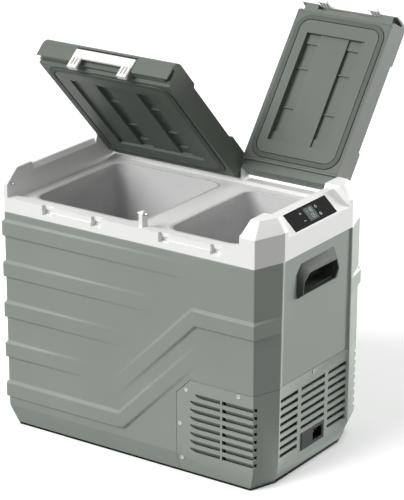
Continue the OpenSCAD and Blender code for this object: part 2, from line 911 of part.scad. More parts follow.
module at_inlet() {
    translate([inlet_x, inlet_y, inlet_z]) rotate([0, draft_angle, 0]) children();
}

module inlet_hole(g) {
    at_inlet() block([-3 * wall, -inlet_w / 2 - g + 2, -inlet_h / 2 - g + 2],
        [3 * wall, inlet_w / 2 + g - 2, inlet_h / 2 + g - 2]);
}

module inlet_plate() {
    color([0.03, 0.03, 0.03]) at_inlet() difference() {
        union() {
            block([0, -inlet_w / 2, -inlet_h / 2], [1.5, inlet_w / 2, inlet_h / 2]);
            block([-2 * wall, -inlet_w / 2 + 2, -inlet_h / 2 + 2],
                [1, inlet_w / 2 - 2, inlet_h / 2 - 2]);
        }
        block([-3 * wall, socket_y - socket_w / 2 - fit, -socket_h / 2 - fit],
            [wall, socket_y + socket_w / 2 + fit, socket_h / 2 + fit]);
    }
}

contact_r = 1.2;
contact_pitch = 9;

module power_socket() {
    t = 1.6;
    color([0.08, 0.08, 0.09]) at_inlet() difference() {
        block([-socket_depth - t, socket_y - socket_w / 2, -socket_h / 2],
            [1, socket_y + socket_w / 2, socket_h / 2]);
        block([-socket_depth, socket_y - socket_w / 2 + t, -socket_h / 2 + t],
            [wall, socket_y + socket_w / 2 - t, socket_h / 2 - t]);
        for (s = [-1, 0, 1])
            rod_x(-socket_depth - 2 * t, 0, socket_y + s * contact_pitch, 0, contact_r + 0.05);
    }
}

module socket_contacts() {
    color([0.8, 0.75, 0.55]) at_inlet()
        for (s = [-1, 0, 1])
            rod_x(-socket_depth - 6, -socket_depth + 11, socket_y + s * contact_pitch, 0, contact_r);
}

// ---- machine bay ----

// A hole or pin at each foot of the compressor, from z0 upwards
module at_feet(z0) {
    for (a = FEET)
        translate([comp_x + foot_ring * cos(a), comp_y + foot_ring * sin(a), z0]) children();
}

module machine_tray() {
    edge = level(tray_z) + wall + tray_t;
    inset = 5;
    left = cover_x + 24;
    color([0.6, 0.6, 0.6]) difference() {
        union() {
            intersection() {
                translate([0, 0, tray_z]) linear_extrude(tray_t) polygon(outline(edge, draft));
                block([left, -body_depth, 0], [body_len, body_depth, tray_top]);
            }
            block([fan_x - fan_w / 2, fan_y + inset, tray_z],
                [fan_x + fan_w / 2, fan_back - inset, fan_z - fan_w / 2]);
            block([cond_x0 + 2 * inset - 1, cond_y + inset, tray_z],
                [cond_x1 - 2 * inset + 1, cond_y + cond_t - inset, cond_z0]);
        }
        at_feet(tray_z - 1) cylinder(h = 2 * tray_t, r = 3);
    }
}

module compressor() {
    base = tray_top + bush_h;
    plate_t = 3;
    lug_r = 10;
    round_r = 12;
    long = 84;
    short = 64;
    color([0.12, 0.12, 0.13]) union() {
        difference() {
            union() {
                translate([comp_x, comp_y, base]) linear_extrude(plate_t) union() {
                    square([short, long], center = true);
                    square([long, short], center = true);
                }
                at_feet(base) cylinder(h = plate_t, r = lug_r);
            }
            at_feet(base - 1) cylinder(h = 2 * plate_t, r = bush_neck_r + fit);
        }
        translate([comp_x, comp_y, base + plate_t - 1]) rotate_extrude() intersection() {
            union() {
                translate([0, round_r]) square([comp_r, comp_h - round_r]);
                square([comp_r - round_r, comp_h + round_r]);
                translate([comp_r - round_r, round_r]) circle(round_r);
                translate([comp_r - round_r, comp_h]) circle(round_r);
            }
            square([comp_r, comp_h + 2 * round_r]);
        }
        rod_x(comp_x - comp_r - 3.5, comp_x - comp_r + 6, suction_y, evap_low, tube_r + 0.5);
    }
}

bush_neck_r = 3.2;

module compressor_bushes() {
    color([0.05, 0.05, 0.05]) at_feet(tray_top) {
        cylinder(h = bush_h, r = 2.5 * bush_neck_r);
        cylinder(h = bush_h + 2.5, r = bush_neck_r);
    }
}

function cond_tube_z(i) = cond_z0 + cond_pitch / 2 + i * cond_pitch;

module condenser_fins() {
    gap = (cond_x1 - cond_x0) / (fin_count - 1);
    half_fin = 0.3;
    rail = 1.5;
    back = cond_y + cond_t;
    color([0.75, 0.76, 0.77]) difference() {
        union() {
            for (i = [0 : fin_count - 1])
                block([cond_x0 + i * gap - half_fin, cond_y, cond_z0],
                    [cond_x0 + i * gap + half_fin, back, cond_z1]);
            for (x = [cond_x0, cond_x1])
                block([x - cond_frame, cond_y, cond_z0], [x + cond_frame, back, cond_z1]);
            for (z = [cond_z0, cond_z1 - rail])
                block([cond_x0, cond_y, z], [cond_x1, back, z + rail]);
        }
        for (i = [0 : cond_rows - 1])
            rod_x(cond_x0 - 5, cond_x1 + 5, cond_mid, cond_tube_z(i), tube_r + 0.05);
    }
}

module condenser_tube() {
    end = 4;
    color([0.75, 0.5, 0.35]) union() {
        for (i = [0 : cond_rows - 1])
            rod_x(cond_x0 - end, cond_x1 + end, cond_mid, cond_tube_z(i), tube_r);
        for (i = [0 : cond_rows - 2])
            translate([i % 2 == 0 ? cond_x1 + end : cond_x0 - end, cond_mid,
                (cond_tube_z(i) + cond_tube_z(i + 1)) / 2])
                rotate([0, 0, i % 2 == 0 ? 0 : 180]) rotate([90, 0, 0]) rotate([0, 0, -90])
                    rotate_extrude(angle = 180) translate([cond_pitch / 2, 0]) circle(tube_r);
        rod_y(cond_x0 - end, cond_mid, drier_y + 8, cond_tube_z(0), tube_r);
    }
}

module filter_drier() {
    x = cond_x0 - 4;
    r = 9;
    y = drier_y + 8 + tube_r;
    z = cond_tube_z(0);
    color([0.72, 0.45, 0.3]) union() {
        rod_x(x, drier_x, y, z, tube_r);
        translate([drier_x, drier_y, z - 8]) cylinder(h = 62, r = r);
        translate([drier_x, drier_y, tray_top]) cylinder(h = 30, r = r / 2);
        translate([drier_x, drier_y, z + 47]) cylinder(h = evap_low - z - 47 - tube_r, r = tube_r);
    }
}

module fan_frame() {
    hub_r = 22;
    bore = fan_w / 2 - 3;
    back = 4;
    arm = 3;
    hole = fan_w / 2 - 7.5;
    color([0.06, 0.06, 0.07]) difference() {
        block([fan_x - fan_w / 2, fan_y, fan_z - fan_w / 2],
            [fan_x + fan_w / 2, fan_back, fan_z + fan_w / 2]);
        rod_y(fan_x, fan_y - 1, fan_back - back, fan_z, bore);
        difference() {
            rod_y(fan_x, fan_y - 1, fan_back + 1, fan_z, bore);
            rod_y(fan_x, fan_y - 2, fan_back + 2, fan_z, hub_r);
            for (a = [45, 135]) translate([fan_x, 0, fan_z]) rotate([0, a, 0])
                block([-fan_w, fan_y, -arm], [fan_w, fan_back, arm]);
        }
        rod_y(fan_x, fan_y, fan_back + 1, fan_z, spindle_r + pin_clear);
        for (sx = [-1, 1], sz = [-1, 1])
            rod_y(fan_x + sx * hole, fan_y - 1, fan_back + 1, fan_z + sz * hole, 2.2);
    }
}

spindle_r = 4;

module fan_rotor() {
    reach = fan_w / 2 - 28;
    hub_r = 20;
    color([0.09, 0.09, 0.1]) union() {
        rod_y(fan_x, fan_y + 2, fan_back - 6, fan_z, hub_r);
        rod_y(fan_x, fan_back - 8, fan_back - 0.5, fan_z, spindle_r);
        for (i = [0 : fan_blades - 1])
            translate([fan_x, fan_y + fan_t / 2 - 2, fan_z]) rotate([0, i * 360 / fan_blades, 0])
                translate([0, 0, hub_r - 2]) rotate([0, 0, 32]) translate([-15, -1, 0])
                    cube([30, 2, reach]);
    }
}

standoff_h = 8;
board_x = comp_x - 35;
board_y = half_depth - 62.5;
board_len = 80;
board_wide = 32;
board_t = 1.6;

module control_board() {
    z0 = tray_top + standoff_h;
    z1 = z0 + board_t;
    color([0.1, 0.35, 0.2]) union() {
        block([board_x, board_y, z0], [board_x + board_len, board_y + board_wide, z1]);
        block([board_x + 8, board_y + 6, z1], [board_x + 26, board_y + 26, z1 + 20]);
        block([board_x + 36, board_y + 6, z1], [board_x + 72, board_y + 22, z1 + 12]);
    }
}

module board_standoffs() {
    in = 4;
    color([0.85, 0.85, 0.82])
        for (x = [board_x + in, board_x + board_len - in], y = [board_y + in, board_y + board_wide - in])
            translate([x, y, tray_top]) cylinder(h = standoff_h, r = 3);
}

// ---- lids ----

// Section of half a closed lid in Y and Z, with a top edge of radius r
function lid_arc(r) = [for (a = [0 : 10 : 90])
    [nose_y - r + r * cos(a), lid_top - r + r * sin(a)]];

function lid_half(r) = concat(
    [[rim_y, rim_z], [rim_y, rail_top + nose_gap], [nose_y, rail_top + nose_gap]],
    lid_arc(r),
    [[mid_half + 4, lid_top], [mid_half, lid_top - mid_drop]]
);

function flip(points) = [for (i = [len(points) - 1 : -1 : 0]) [-points[i][0], points[i][1]]];

module slot_cut(x0, x1, throat, mouth) {
    gap_z = rail_top + nose_gap - 1;
    r = pin_r + pin_clear;
    rod_x(x0, x1, 0, pin_z, r);
    along_x([[-mouth, gap_z], [-throat, pin_z - r * 0.6], [throat, pin_z - r * 0.6],
        [mouth, gap_z]], x0, x1);
}

module lid_open(open) {
    translate([0, pin_y, pin_z]) rotate([-open, 0, 0]) translate([0, -pin_y, -pin_z]) children();
}

module lid_shell(lid) {
    deep = 8;
    mid = (lid[0] + lid[1]) / 2;
    half = bar_len / 2 + 1;
    cavity = lid_top - mid_drop - lid_wall;
    color([0.42, 0.45, 0.42]) difference() {
        along_x(concat(lid_half(back_r), flip(lid_half(nose_r))), lid[0], lid[1]);
        block([lid[0] + lid_wall, -rim_y + lid_wall, rim_z - 1],
            [lid[1] - lid_wall, rim_y - lid_wall, cavity]);
        for (e = [[lid[0] - 1, lid[0] + deep], [lid[1] - deep, lid[1] + 1]]) {
            translate([0, pin_y, 0]) slot_cut(e[0], e[1], pin_r * 0.78, pin_r * 0.78);
            translate([0, -pin_y, 0]) slot_cut(e[0], e[1], pin_r + pin_clear, 2.2 * pin_r);
        }
        block([mid - half, -half_depth, rail_top], [mid + half, -latch_y + 5.5, latch_z + 8.5]);
        rod_x(mid - half - 6, mid + half + 6, -latch_y, latch_z, latch_pin_r + 0.05);
    }
}

// Outline of a lid's liner, drawn in by g from the shell's inner faces
module lid_plate(lid, g, z0, z1, r) {
    round_block(lid[0] + lid_wall + g, lid[1] - lid_wall - g, rim_y - lid_wall - g, z0, z1, r);
}

plug_z = ledge_z + 1;
seal_z = ledge_z + fit + gasket_h;
liner_top = rail_top + 10;

recess_half = 112;
CHANNEL_PARTS = [[-92, -42], [-40, 40], [42, 92]];

module lid_liner(lid, room, channels) {
    low = plug_z + recess_depth;
    seal_in = gasket_in + gasket_w / 2 + 1 - lid_wall;
    seal_out = gasket_in - gasket_w / 2 - 0.5 - lid_wall;
    color([0.4, 0.43, 0.4]) difference() {
        union() {
            lid_plate(lid, fit, seal_z, liner_top, 3);
            difference() {
                lid_plate(lid, fit, plug_z + 1.5, seal_z + 1, 3);
                lid_plate(lid, seal_out, plug_z, seal_z + 1, gasket_r + 5);
            }
            lid_plate(lid, seal_in, plug_z, seal_z + 1, gasket_r - 6);
        }
        block([room[0], -recess_half, plug_z - 1], [room[1], recess_half, low]);
        for (x = channels) {
            block([x, -recess_half, plug_z], [x + channel_w, recess_half, low + channel_depth / 2]);
            for (y = CHANNEL_PARTS)
                block([x, y[0], plug_z], [x + channel_w, y[1], low + channel_depth]);
        }
    }
}

module lid_foam(lid) {
    color([0.93, 0.88, 0.7]) block(
        [lid[0] + lid_wall + 2 * fit, -rim_y + lid_wall + 2 * fit, liner_top],
        [lid[1] - lid_wall - 2 * fit, rim_y - lid_wall - 2 * fit, lid_top - mid_drop - lid_wall - fit]);
}

module gasket(lid) {
    a = gasket_in - gasket_w / 2 - lid_wall;
    color([0.2, 0.22, 0.2]) difference() {
        lid_plate(lid, a, ledge_z + fit, seal_z, gasket_r + gasket_w / 2);
        lid_plate(lid, a + gasket_w, ledge_z, seal_z + 1, gasket_r - gasket_w / 2);
    }
}

module latch(lid) {
    mid = (lid[0] + lid[1]) / 2;
    out = -latch_y - 6;
    in = out + bar_t - 0.2;
    low = latch_z - 16.5;
    tip = rail_top - claw_drop;
    color([0.92, 0.92, 0.91]) latch_turned() difference() {
        union() {
            along_x([[out, low + 1], [out + 1, low], [out + bar_t, low], [out + bar_t, low + bar_h],
                [out + 2, low + bar_h], [out, low + bar_h - 2]], mid - bar_len / 2, mid + bar_len / 2);
            for (s = [-1, 1]) translate([mid + s * claw_pitch / 2, 0, 0]) {
                along_x([[out - 0.5, tip + 1], [out + 0.5, tip], [out + 8, tip], [out + 8, tip + 3],
                    [in, tip + 5], [in, low + 6], [out - 0.5, low + 6]],
                    -claw_w / 2, claw_w / 2);
                for (r = [-1, 0, 1]) translate([r * claw_w / 3, 0, 0])
                    block([-0.9, out - 1.2, tip + 2], [0.9, out, low + 5]);
                rod_x(-claw_w / 2, claw_w / 2, -latch_y, latch_z, 3);
            }
            rod_x(mid - 9, mid + 9, -latch_y, latch_z, 3);
        }
        rod_x(mid - bar_len, mid + bar_len, -latch_y, latch_z, latch_pin_r + 0.05);
        for (s = [-1, 1], r = [-1, 1])
            translate([mid + s * claw_pitch / 2 + r * claw_w / 6, 0, 0])
                block([-1.2, out - 2, tip + 6], [1.2, in + 1, low - 0.5]);
    }
}

module latch_turned() {
    translate([0, -latch_y, latch_z]) rotate([-latch_ajar, 0, 0])
        translate([0, latch_y, -latch_z]) children();
}

module latch_pin(lid) {
    mid = (lid[0] + lid[1]) / 2;
    color([0.75, 0.75, 0.76]) rod_x(mid - bar_len / 2 - 6, mid + bar_len / 2 + 6, -latch_y,
        latch_z, latch_pin_r);
}

LEFT_ROOM = [LEFT[0] + 49, LEFT[1] - 48];
RIGHT_ROOM = [RIGHT[0] + 38, RIGHT[1] - 44.5];
LEFT_CHANNELS = [LEFT[0] + 99, LEFT[0] + 191];
RIGHT_CHANNELS = [RIGHT_ROOM[0] + 0.1, RIGHT_ROOM[1] - 36];

module left_lid_shell() {
    lid_open(left_open) lid_shell(LEFT);
}

module left_lid_liner() {
    lid_open(left_open) lid_liner(LEFT, LEFT_ROOM, LEFT_CHANNELS);
}

module left_lid_foam() {
    lid_open(left_open) lid_foam(LEFT);
}

module left_gasket() {
    lid_open(left_open) gasket(LEFT);
}

module left_latch() {
    lid_open(left_open) latch(LEFT);
}

module left_latch_pin() {
    lid_open(left_open) latch_pin(LEFT);
}

module right_lid_shell() {
    lid_open(right_open) lid_shell(RIGHT);
}

module right_lid_liner() {
    lid_open(right_open) lid_liner(RIGHT, RIGHT_ROOM, RIGHT_CHANNELS);
}

module right_lid_foam() {
    lid_open(right_open) lid_foam(RIGHT);
}

module right_gasket() {
    lid_open(right_open) gasket(RIGHT);
}

module right_latch() {
    lid_open(right_open) latch(RIGHT);
}

module right_latch_pin() {
    lid_open(right_open) latch_pin(RIGHT);
}

outer_shell();
vent_cover();
cover_screws();
base_pad();
top_collar();
left_liner();
right_liner();
insulation();
evaporator();
hinge_pins();
locating_pins();
left_grip();
right_grip();
display_plate();
lcd_window();
display_board();
inlet_plate();
power_socket();
socket_contacts();
machine_tray();
compressor();
compressor_bushes();
condenser_fins();
condenser_tube();
fan_frame();
fan_rotor();
control_board();
board_standoffs();
filter_drier();
left_lid_shell();
left_lid_liner();
left_lid_foam();
left_gasket();
left_latch();
left_latch_pin();
right_lid_shell();
right_lid_liner();
right_lid_foam();
right_gasket();
right_latch();
right_latch_pin();
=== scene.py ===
import json
import math

import bmesh
import bpy
from mathutils import Matrix, Vector


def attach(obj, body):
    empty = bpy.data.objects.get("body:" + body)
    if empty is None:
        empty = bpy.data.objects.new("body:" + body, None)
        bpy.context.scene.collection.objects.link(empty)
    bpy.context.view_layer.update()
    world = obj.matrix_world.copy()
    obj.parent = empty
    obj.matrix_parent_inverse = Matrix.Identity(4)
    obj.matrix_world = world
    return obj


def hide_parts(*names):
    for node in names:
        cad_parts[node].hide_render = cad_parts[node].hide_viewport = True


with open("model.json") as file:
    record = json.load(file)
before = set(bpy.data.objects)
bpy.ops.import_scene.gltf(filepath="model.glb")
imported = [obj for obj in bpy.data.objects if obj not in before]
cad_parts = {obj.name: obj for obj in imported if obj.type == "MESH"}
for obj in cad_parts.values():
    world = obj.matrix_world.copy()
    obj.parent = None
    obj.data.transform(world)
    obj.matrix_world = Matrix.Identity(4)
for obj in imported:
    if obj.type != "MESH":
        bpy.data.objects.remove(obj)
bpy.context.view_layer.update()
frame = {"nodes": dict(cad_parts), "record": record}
record = frame["record"]
body_of_node = {n: b for b, ns in record["behaviour"]["bodies"].items() for n in ns}
MM = 0.001


def linear(value):
    """The linear strength of one 0 to 255 display value."""
    v = value / 255
    return v / 12.92 if v <= 0.04045 else ((v + 0.055) / 1.055) ** 2.4


def rgb(r, g, b):
    return (linear(r), linear(g), linear(b), 1)


# ---- finishes ----

MIX_A, MIX_B, MIX_COLOUR = 6, 7, 2   # the Mix node's colour sockets
WORN_EDGE = (0.52, 0.62)             # pointiness of an edge that gets rubbed
SHADED_CORNER = (0.49, 0.42)          # pointiness of an inner corner that gets painted shade


class Nodes:
    """A material's node tree, with short calls that make and join its nodes."""

    def __init__(self, name):
        self.material = bpy.data.materials.new(name)
        self.material.use_nodes = True
        self.tree = self.material.node_tree
        self.tree.nodes.clear()
        self.output = self.add("ShaderNodeOutputMaterial")
        self.place = self.add("ShaderNodeTexCoord").outputs["Object"]

    def add(self, kind, **values):
        made = self.tree.nodes.new(kind)
        for key, value in values.items():
            setattr(made, key, value)
        return made

    def put(self, value, socket):
        if isinstance(value, bpy.types.NodeSocket):
            self.tree.links.new(value, socket)
        else:
            socket.default_value = value

    def noise(self, scale, detail, rough=0.5, stretch=None):
        made = self.add("ShaderNodeTexNoise")
        made.inputs["Scale"].default_value = scale
        made.inputs["Detail"].default_value = detail
        made.inputs["Roughness"].default_value = rough
        place = self.place
        if stretch:
            turned = self.add("ShaderNodeMapping")
            self.put(place, turned.inputs["Vector"])
            turned.inputs["Scale"].default_value = stretch
            place = turned.outputs["Vector"]
        self.put(place, made.inputs["Vector"])
        return made.outputs["Fac"]

    def ramp(self, value, low, high, to_low=0.0, to_high=1.0):
        made = self.add("ShaderNodeMapRange")
        for key, number in (("From Min", low), ("From Max", high), ("To Min", to_low),
                            ("To Max", to_high)):
            made.inputs[key].default_value = number
        self.put(value, made.inputs["Value"])
        return made.outputs["Result"]

    def math(self, kind, a, b):
        made = self.add("ShaderNodeMath", operation=kind)
        self.put(a, made.inputs[0])
        self.put(b, made.inputs[1])
        return made.outputs[0]

    def mix(self, share, a, b):
        made = self.add("ShaderNodeMix", data_type="RGBA")
        self.put(share, made.inputs["Factor"])
        self.put(a, made.inputs[MIX_A])
        self.put(b, made.inputs[MIX_B])
        return made.outputs[MIX_COLOUR]

    def bump(self, height, strength, distance, normal=None):
        made = self.add("ShaderNodeBump")
        made.inputs["Strength"].default_value = strength
        made.inputs["Distance"].default_value = distance
        self.put(height, made.inputs["Height"])
        if normal:
            self.put(normal, made.inputs["Normal"])
        return made.outputs["Normal"]

    def edges(self, low, high):
        point = self.add("ShaderNodeNewGeometry").outputs["Pointiness"]
        return self.ramp(point, low, high)

    def surface(self, shader):
        self.put(shader.outputs[0], self.output.inputs["Surface"])
        return self.material


def shade(colour, factor):
    return tuple(min(1, c * factor) for c in colour[:3]) + (1,)


def moulded(name, colour, rough, grain, depth, wear=0.12, vary=0.04, specular=0.3,
            coat=0.0, corner_shade=0.25):
    """Moulded plastic: a fine grain, slow changes of tone and gloss, rubbed edges, and
    painted shade in its inner corners.
    """
    n = Nodes(name)
    slow = n.noise(5, 3)
    fine = n.noise(grain, 3, 0.6)
    scuff = n.noise(60, 4, 0.7, (1, 1, 3))
    tone = n.mix(n.ramp(slow, 0.3, 0.7), shade(colour, 1 - vary), shade(colour, 1 + vary))
    rub = n.math("MULTIPLY", n.edges(*WORN_EDGE), n.ramp(scuff, 0.35, 0.75))
    tone = n.mix(n.math("MULTIPLY", rub, wear), tone, shade(colour, 1.6))
    # Painted shade: inner corners are darkened in patches, where shade would fall.
    shade_in_corners = n.math("MULTIPLY", n.edges(*SHADED_CORNER), n.ramp(slow, 0.2, 0.8))
    tone = n.mix(n.math("MULTIPLY", shade_in_corners, corner_shade), tone, shade(colour, 0.55))
    s = n.add("ShaderNodeBsdfPrincipled")
    n.put(tone, s.inputs["Base Color"])
    patches = n.ramp(scuff, 0.3, 0.8, -0.05, 0.06)
    specks = n.ramp(fine, 0.2, 0.8, -0.03, 0.03)
    n.put(n.math("ADD", n.math("ADD", patches, specks), rough), s.inputs["Roughness"])
    s.inputs["Specular IOR Level"].default_value = specular
    s.inputs["Coat Weight"].default_value = coat
    waves = n.bump(n.noise(9, 1), 0.25, 0.0012)
    n.put(n.bump(fine, 0.5, depth, waves), s.inputs["Normal"])
    return n.surface(s)


def metal(name, colour, rough, grain=(2, 60, 60), wear=0.2):
    """Drawn or rolled metal with fine lines, stains and brighter edges."""
    n = Nodes(name)
    lines = n.noise(120, 4, 0.6, grain)
    stain = n.noise(18, 4, 0.6)
    tone = n.mix(n.ramp(stain, 0.35, 0.75), colour, shade(colour, 0.7))
    tone = n.mix(n.math("MULTIPLY", n.edges(*WORN_EDGE), wear), tone, shade(colour, 1.4))
    s = n.add("ShaderNodeBsdfPrincipled")
    n.put(tone, s.inputs["Base Color"])
    s.inputs["Metallic"].default_value = 1.0
    n.put(n.math("ADD", n.ramp(lines, 0.2, 0.8, -0.08, 0.12), rough), s.inputs["Roughness"])
    n.put(n.bump(lines, 0.3, 0.00005), s.inputs["Normal"])
    return n.surface(s)


def readout():
    """The readout's window: dark glass, a little cloudy."""
    n = Nodes("readout_window")
    s = n.add("ShaderNodeBsdfPrincipled")
    tone = n.mix(n.ramp(n.noise(40, 3), 0.3, 0.7), rgb(58, 66, 66), rgb(74, 84, 84))
    n.put(tone, s.inputs["Base Color"])
    n.put(n.ramp(n.noise(300, 2), 0.3, 0.7, 0.08, 0.16), s.inputs["Roughness"])
    n.put(n.bump(n.noise(25, 1), 0.2, 0.0002), s.inputs["Normal"])
    return n.surface(s)


GREY = rgb(131, 138, 131)
COVER = rgb(136, 143, 136)
LID = rgb(96, 103, 96)
LID_INNER = rgb(88, 95, 88)
WHITE = rgb(228, 228, 226)
MATS = {
    "shell": moulded("shell_plastic", GREY, 0.42, 1100, 0.0001),
    "cover": moulded("cover_plastic", COVER, 0.45, 1100, 0.0001),
    "white": moulded("white_plastic", WHITE, 0.38, 1200, 0.00005, wear=0.02, vary=0.015),
    "liner": moulded("liner_plastic", rgb(200, 201, 200), 0.3, 700, 0.00004, wear=0.02,
                     vary=0.015),
    "lid": moulded("lid_plastic", LID, 0.42, 1100, 0.0001),
    "lid_liner": moulded("lid_liner_plastic", LID_INNER, 0.45, 800, 0.0001),
    "grip": moulded("grip_plastic", rgb(54, 59, 54), 0.6, 900, 0.0001, wear=0,
                    specular=0.15, corner_shade=0),
    "black": moulded("black_plastic", rgb(14, 14, 15), 0.45, 900, 0.00006, wear=0.1,
                     vary=0.1, specular=0.25),
    "pad": moulded("pad_rubber", rgb(8, 8, 8), 0.85, 400, 0.0002, wear=0.1, vary=0.1,
                   specular=0.15),
    "film": moulded("display_film", rgb(10, 10, 11), 0.18, 300, 0.00001, wear=0, vary=0.05,
                    specular=0.12, corner_shade=0),
    "seal": moulded("door_seal", rgb(74, 80, 74), 0.6, 600, 0.0001, wear=0.1, vary=0.08),
    "foam": moulded("foam", rgb(228, 214, 165), 0.9, 300, 0.0004, wear=0.1, vary=0.08),
    "bush": moulded("bush_rubber", rgb(20, 20, 20), 0.8, 400, 0.0002),
    "board": moulded("board_lacquer", rgb(24, 74, 44), 0.35, 900, 0.00003),
    "enamel": moulded("compressor_enamel", rgb(28, 28, 30), 0.3, 500, 0.0001, wear=0.3,
                      vary=0.1, specular=0.5, coat=0.4),
    "steel": metal("pin_steel", rgb(190, 190, 192), 0.28),
    "sheet": metal("tray_sheet", rgb(170, 172, 175), 0.42, (20, 20, 20)),
    # Painted shade: the condenser fins are made near-black so the vent slots in front of them
    # read as dark shade.
    "fins": moulded("fins_dark_as_slot_shade", rgb(30, 31, 32), 0.5, 500, 0.0001, wear=0.3, vary=0.1),
    "copper": metal("tube_copper", rgb(196, 120, 80), 0.3),
    "gilt": metal("contact_metal", rgb(214, 190, 130), 0.25),
    # Painted highlight and shade: the screws are coloured pale to stand in for their
    # highlights, and their recesses are darkened strongly as painted shade.
    "screw": moulded("screw_painted_highlight_and_shade", rgb(196, 199, 196), 0.4, 900, 0.00005, wear=0,
                     vary=0.03, specular=0.5, corner_shade=0.9),
    "mark": moulded("display_marks", rgb(210, 214, 212), 0.5, 600, 0.00001, wear=0,
                    vary=0.02),
    "figure": moulded("readout_figures", rgb(176, 184, 182), 0.5, 600, 0.00001, wear=0,
                      vary=0.02),
    "readout": readout(),
}


# ---- pieces ----

WELD = 2e-6                  # m, points nearer than this are one
FLAT = math.radians(0.4)     # faces that turn less than this are one
SOFT_ANGLES = (30, 32)       # degrees: least bevelled corner, least sharp corner
CRISP_ANGLES = (14, 16)      # the same for pieces with shallow facets


def link(name, mesh, material, body, node=None):
    """Shows a mesh in one material, riding a body and, with node, in that node's place."""
    made = bpy.data.objects.new(name, mesh)
    bpy.context.scene.collection.objects.link(made)
    mesh.materials.clear()
    mesh.materials.append(MATS[material])
    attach(made, body)
    if node:
        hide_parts(node)
    return made


def new_mesh(bm, name):
    mesh = bpy.data.meshes.new(name)
    bm.to_mesh(mesh)
    bm.free()
    return mesh


def smooth(bm, sharp):
    """Smooth faces, parted where two of them meet at sharp degrees or more."""
    limit = math.radians(sharp)
    for f in bm.faces:
        f.smooth = True
    for e in bm.edges:
        e.smooth = len(e.link_faces) == 2 and e.calc_face_angle(0) < limit


def clean(node):
    """The CAD node's shape as a welded mesh with whole faces."""
    bm = bmesh.new()
    bm.from_mesh(frame["nodes"][node].data)
    bmesh.ops.remove_doubles(bm, verts=bm.verts, dist=WELD)
    bmesh.ops.dissolve_limit(bm, angle_limit=FLAT, verts=bm.verts, edges=bm.edges)
    return bm


def bevel(obj, width, segments, angle):
    m = obj.modifiers.new("edges", "BEVEL")
    m.width = width * MM
    m.segments = segments
    m.limit_method = "ANGLE"
    m.angle_limit = math.radians(angle)
    m.harden_normals = True
    m.use_clamp_overlap = True


def dress(node, material, width, segments, angles):
    """A node's shape with its finish and with edges rounded by width in mm."""
    name = node + "_look"
    bm = clean(node)
    smooth(bm, angles[1])
    made = link(name, new_mesh(bm, name), material, body_of_node[node], node)
    if width:
        bevel(made, width, segments, angles[0])


# Material, width of the rounded edges in mm, and their segments
PLAIN = {
    "vent_cover": ("cover", 0.7, 2), "cover_screws": ("screw", 0.25, 2),
    "base_pad": ("pad", 1, 2), "top_collar": ("white", 1.6, 3),
    "left_liner": ("liner", 0.6, 2), "right_liner": ("liner", 0.6, 2),
    "hinge_pins": ("steel", 0.5, 2), "locating_pins": ("steel", 0.5, 2),
    "left_grip": ("grip", 1.4, 3), "right_grip": ("grip", 1.4, 3),
    "display_plate": ("film", 0.25, 2), "lcd_window": ("readout", 0.1, 1),
    "display_board": ("board", 0.2, 1), "inlet_plate": ("black", 0.5, 2),
    "power_socket": ("black", 0.4, 2), "socket_contacts": ("gilt", 0.2, 1),
    "machine_tray": ("sheet", 0.3, 1), "compressor": ("enamel", 0.6, 2),
    "compressor_bushes": ("bush", 0.5, 2), "condenser_fins": ("fins", 0, 1),
    "condenser_tube": ("copper", 0, 1), "fan_frame": ("black", 0.5, 2),
    "fan_rotor": ("black", 0.4, 2), "control_board": ("board", 0.3, 1),
    "board_standoffs": ("gilt", 0.3, 1), "filter_drier": ("copper", 0.6, 2),
    "left_lid_shell": ("lid", 1.4, 3), "right_lid_shell": ("lid", 1.4, 3),
    "left_lid_liner": ("lid_liner", 1.2, 3), "right_lid_liner": ("lid_liner", 1.2, 3),
    "left_gasket": ("seal", 1.2, 3), "right_gasket": ("seal", 1.2, 3),
    "left_latch": ("white", 0.6, 3), "right_latch": ("white", 0.6, 3),
    "left_latch_pin": ("steel", 0.2, 1), "right_latch_pin": ("steel", 0.2, 1),
}
CRISP = ("left_grip", "right_grip", "top_collar", "left_latch", "right_latch",
         "left_lid_liner", "right_lid_liner")
for node, (material, width, segments) in PLAIN.items():
    dress(node, material, width, segments, CRISP_ANGLES if node in CRISP else SOFT_ANGLES)

# These are shut in, so the CAD solids themselves are shown
HIDDEN = {"insulation": "foam", "left_lid_foam": "foam", "right_lid_foam": "foam",
          "evaporator": "copper"}
for node, material in HIDDEN.items():
    frame["nodes"][node].data.materials.clear()
    frame["nodes"][node].data.materials.append(MATS[material])


# ---- the shell with its ribs and bands ----

# All in mm. The body: half its length and depth, and the heights of collar, crease and foot
HALF_X, HALF_Y = 300.0, 180.5
TOP_Z, CREASE_Z, FOOT_Z = 434.0, 42.0, 5.0
DRAFT, SKIRT = 3.5, 12.0
CREASE_BLEND = 1.2           # how tightly wall and skirt are blended at the crease
RIM_DROP, RIM_TURN = 1.6, 0.7
CHAMFER_X, CHAMFER_Y = 22.0, 64.5
CHAMFER_RATIO = 3            # a chamfer widens this much more along Y than along X
PANEL_DEPTH, PANEL_HALF, PANEL_RAMP = 3.6, 121.0, 12.0
SHELL_WALL = 2.6

# Ribs: five at one pitch, each fading sooner than the one above; the lowest goes on to a turn
RIBS, RIB_H, RIB_PITCH, RIB_TOP = 5, 35.0, 81.5, 420.0
RIB_REACH, RIB_STEP, LOW_RIB_END = 150.0, 80.0, -20.0
LOW_RIB_Z = RIB_TOP - (RIBS - 1) * RIB_PITCH - RIB_H
OUT = 4.5                    # how far ribs and bands stand out
LEAN, LEAN_RUN = 0.7, 30.0   # they lean out along X too, beginning this far from a chamfer

# Bands: a level one at the right, and two diagonals, given by z - x at their edges
BAND_LOW, BAND_TOP, BAND_START_X = 299.5, 334.5, 150.0
RISING = (66.0, 111.0)
RISING_FULL_X, RISING_FADE = -8.0, 173.0
FALLING = (143.5, 188.0)
FALLING_FULL_X, FALLING_FADE, FALLING_END_X = 156.0, 190.0, 175.0

# Widths of the sloping edges: diagonals and ends, undersides, and tops
EDGE, SLOPE_LOW, SLOPE_TOP = 4.2, 2.6, 5.5

